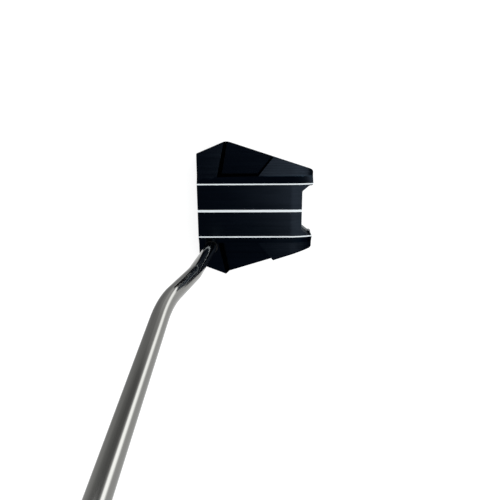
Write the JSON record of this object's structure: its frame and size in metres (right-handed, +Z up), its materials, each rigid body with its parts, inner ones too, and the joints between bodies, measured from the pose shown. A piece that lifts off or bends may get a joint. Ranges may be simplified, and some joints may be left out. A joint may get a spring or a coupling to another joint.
{
  "type": "mallet putter",
  "caption": "Mallet golf putter with a milled head, three sight lines, wing pockets, a rear notch, a double-bend steel shaft and a flat-front grip.",
  "frame": {"origin": "on the flat of the sole, below the middle of the face's top edge", "axes": "+X from toe to heel, +Y from the face to the back, +Z up from the ground at address"},
  "size_m": [0.3532, 0.1007, 0.8389],
  "materials": {
    "crown_anodised": "black anodised, finely machined",
    "sight_paint": "white enamel fill",
    "insert_anodised": "black anodised, grooved",
    "tape": "double-sided tape",
    "frame_steel": "satin, bead blasted",
    "screw_steel": "machined",
    "cover_anodised": "black anodised",
    "core_rubber": "moulded",
    "weight_steel": "turned",
    "shaft_chrome": "polished chrome plate",
    "adhesive": "cured epoxy",
    "plug_rubber": "cork and rubber",
    "grip_foam": "foam",
    "grip_skin": "embossed polyurethane",
    "cap_plastic": "moulded"
  },
  "bodies": {
    "root": {"crown": "crown_anodised", "sight_line_toe": "sight_paint", "sight_line_centre": "sight_paint", "sight_line_heel": "sight_paint", "face_insert": "insert_anodised", "insert_tape": "tape", "sole_frame": "frame_steel", "frame_screws": "screw_steel", "sole_cover": "cover_anodised", "cover_tape": "tape", "damping_core": "core_rubber", "front_weight_toe": "weight_steel", "front_weight_heel": "weight_steel", "rear_weight_toe": "weight_steel", "rear_weight_heel": "weight_steel", "rear_weight_screws": "screw_steel", "shaft": "shaft_chrome", "shaft_adhesive": "adhesive", "shaft_plug": "plug_rubber", "grip_core": "grip_foam", "grip_wrap": "grip_skin", "grip_tape": "tape", "grip_cap": "cap_plastic"}
  },
  "joints": []
}
